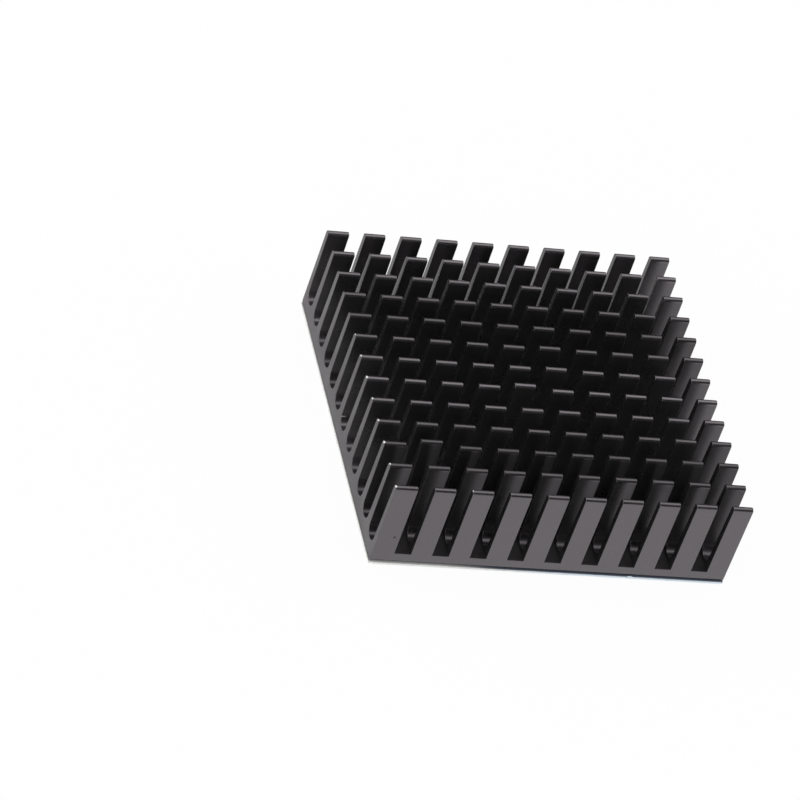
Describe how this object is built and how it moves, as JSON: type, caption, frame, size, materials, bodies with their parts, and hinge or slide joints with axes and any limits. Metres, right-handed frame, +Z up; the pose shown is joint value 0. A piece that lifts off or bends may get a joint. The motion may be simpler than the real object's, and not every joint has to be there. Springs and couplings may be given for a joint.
{
  "type": "heat sink",
  "caption": "Square black anodised aluminium pin-fin heat sink with tapered fins sawn into flat pins, with thermal tape and a peel-off liner under its base.",
  "frame": {"origin": "middle of the underside of the liner, where the part stands", "axes": "+X along the fins, +Y across the fins to the back, +Z up along the pins"},
  "size_m": [0.0404, 0.0404, 0.0111],
  "materials": {
    "black_anodised_aluminium": "black anodised, satin",
    "white_thermal_tape": "matte white filled acrylic adhesive",
    "blue_liner_film": "glossy light blue polyester film"
  },
  "bodies": {
    "root": {"finned_body": "black_anodised_aluminium", "adhesive_tape": "white_thermal_tape", "release_liner": "blue_liner_film"}
  },
  "joints": []
}
